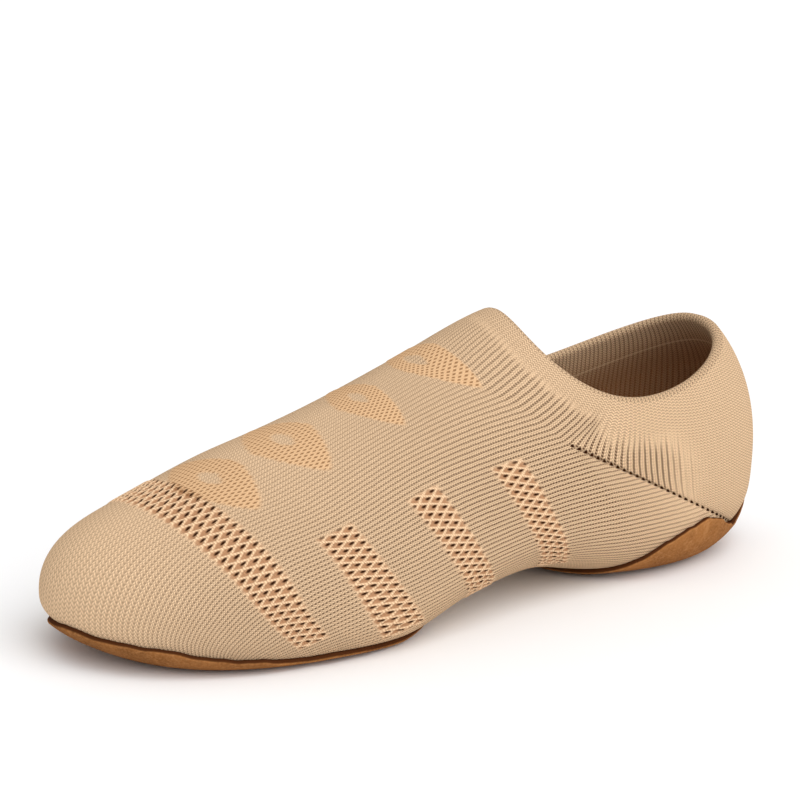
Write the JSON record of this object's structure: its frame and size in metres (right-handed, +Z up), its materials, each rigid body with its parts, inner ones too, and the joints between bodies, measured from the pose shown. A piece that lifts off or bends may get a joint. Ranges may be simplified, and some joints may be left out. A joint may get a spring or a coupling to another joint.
{
  "type": "dance practice shoe",
  "caption": "Left slip-on knitted dance shoe with an elastic sock collar and thin split suede soles under the forefoot and the heel.",
  "frame": {"origin": "centre of the shoe's bounding box, on the floor under the soles", "axes": "+X towards the toe, +Y towards the outer side of the left foot, +Z up"},
  "size_m": [0.2484, 0.0858, 0.083],
  "materials": {
    "knit": "matt knitted yarn",
    "suede": "napped suede, no gloss",
    "foam_cloth": "matt cloth-faced foam"
  },
  "bodies": {
    "root": {"knit_upper": "knit", "forefoot_sole": "suede", "heel_sole": "suede", "insole": "foam_cloth"}
  },
  "joints": []
}
